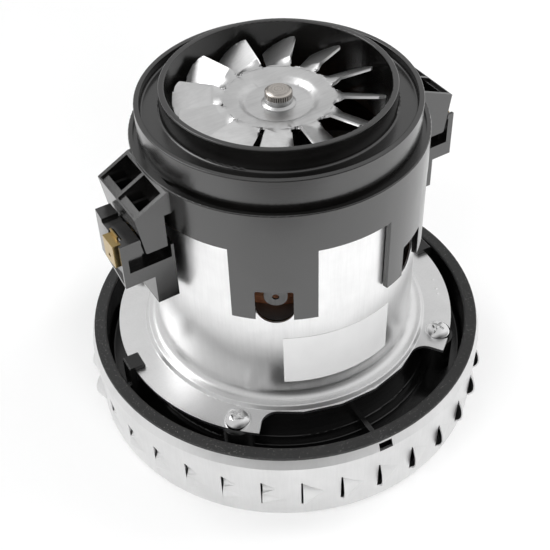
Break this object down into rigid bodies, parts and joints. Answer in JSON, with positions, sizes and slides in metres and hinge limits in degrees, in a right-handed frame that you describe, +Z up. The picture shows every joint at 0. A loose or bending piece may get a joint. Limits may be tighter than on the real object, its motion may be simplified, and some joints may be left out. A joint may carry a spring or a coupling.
{
  "type": "vacuum motor",
  "caption": "Through-flow vacuum cleaner motor: a pressed fan casing with louvres, a steel motor frame, side brush holders and a cooling fan on top.",
  "frame": {"origin": "on the shaft axis, at the plane the fan casing rests on", "axes": "+Z up along the shaft towards the cooling fan; -Y between the two front legs of the top cover; the brush line lies 3 degrees from X"},
  "size_m": [0.1487, 0.1502, 0.1334],
  "materials": {
    "casing": "matte pressed sheet",
    "housing": "moulded, fine grain",
    "gasket": "matte",
    "zinc_steel": "zinc plated, satin",
    "screw_steel": "bright plated",
    "label": "bare satin film",
    "bearing_steel": "ground and polished",
    "cage_brass": "satin",
    "cover": "moulded, satin",
    "clip_brass": "tinned, pale",
    "tube_brass": "satin",
    "carbon": "sooty carbon",
    "spring_steel": "drawn wire",
    "lamination": "stacked sheet",
    "copper": "enamelled copper",
    "insulation": "pressed board",
    "tab_steel": "tinned",
    "shaft_steel": "ground",
    "commutator": "turned copper",
    "phenolic": "moulded resin",
    "impeller_aluminium": "pressed sheet",
    "fan_aluminium": "stamped sheet",
    "collar_steel": "turned"
  },
  "bodies": {
    "base": {"fan_casing": "casing", "diffuser_housing": "housing", "rim_gasket": "gasket", "motor_frame": "zinc_steel", "frame_screws": "screw_steel", "rating_label": "label", "bearing_plate": "zinc_steel", "lower_bearing_outer_ring": "bearing_steel", "lower_bearing_shields": "bearing_steel", "upper_bearing_outer_ring": "bearing_steel", "upper_bearing_shields": "bearing_steel", "wave_washer": "spring_steel", "top_cover": "cover", "brush_holder_left": "cover", "brush_holder_right": "cover", "brush_tube_left": "tube_brass", "brush_tube_right": "tube_brass", "brush_spring_left": "spring_steel", "brush_spring_right": "spring_steel", "brush_terminal_left": "clip_brass", "brush_terminal_right": "clip_brass", "stator_core": "lamination", "field_coil_front": "copper", "field_coil_back": "copper", "terminal_ring": "housing", "field_tabs": "tab_steel"},
    "rotor": {"armature_shaft": "shaft_steel", "armature_core": "lamination", "armature_winding": "copper", "commutator_hub": "phenolic", "commutator_bars": "commutator", "impeller_backplate": "impeller_aluminium", "impeller_shroud": "impeller_aluminium", "impeller_blades": "impeller_aluminium", "impeller_spacer": "shaft_steel", "impeller_washer": "shaft_steel", "impeller_nut": "shaft_steel", "end_insulators": "insulation", "cooling_fan": "fan_aluminium", "fan_spacer": "shaft_steel", "fan_collar": "collar_steel", "shaft_cap": "collar_steel", "lower_bearing_inner_ring": "bearing_steel", "upper_bearing_inner_ring": "bearing_steel"},
    "lower_cage": {"lower_bearing_balls": "bearing_steel", "lower_bearing_cage": "cage_brass"},
    "upper_cage": {"upper_bearing_balls": "bearing_steel", "upper_bearing_cage": "cage_brass"},
    "brush_left": {"carbon_brush_left": "carbon"},
    "brush_right": {"carbon_brush_right": "carbon"}
  },
  "joints": [
    {"name": "rotor_spin", "type": "hinge", "parent": "base", "child": "rotor", "pos_m": [0, 0, 0.07], "axis": [0, 0, 1], "continuous": true},
    {"name": "lower_cage_spin", "type": "hinge", "parent": "base", "child": "lower_cage", "pos_m": [0, 0, 0.0265], "axis": [0, 0, 1], "continuous": true},
    {"name": "upper_cage_spin", "type": "hinge", "parent": "base", "child": "upper_cage", "pos_m": [0, 0, 0.111], "axis": [0, 0, 1], "continuous": true},
    {"name": "brush_right_slide", "type": "slide", "parent": "base", "child": "brush_right", "axis": [0.9986, 0.0523, 0], "range_m": [0, 0.006], "stiffness_N_per_m": 60, "springref_m": -0.02, "deforming": ["brush_spring_right"]},
    {"name": "brush_left_slide", "type": "slide", "parent": "base", "child": "brush_left", "axis": [-0.9986, -0.0523, 0], "range_m": [0, 0.006], "stiffness_N_per_m": 60, "springref_m": -0.02, "deforming": ["brush_spring_left"]}
  ],
  "couplings": [
    {"joint": "lower_cage_spin", "follows": "rotor_spin", "ratio": 0.368},
    {"joint": "upper_cage_spin", "follows": "rotor_spin", "ratio": 0.368}
  ]
}
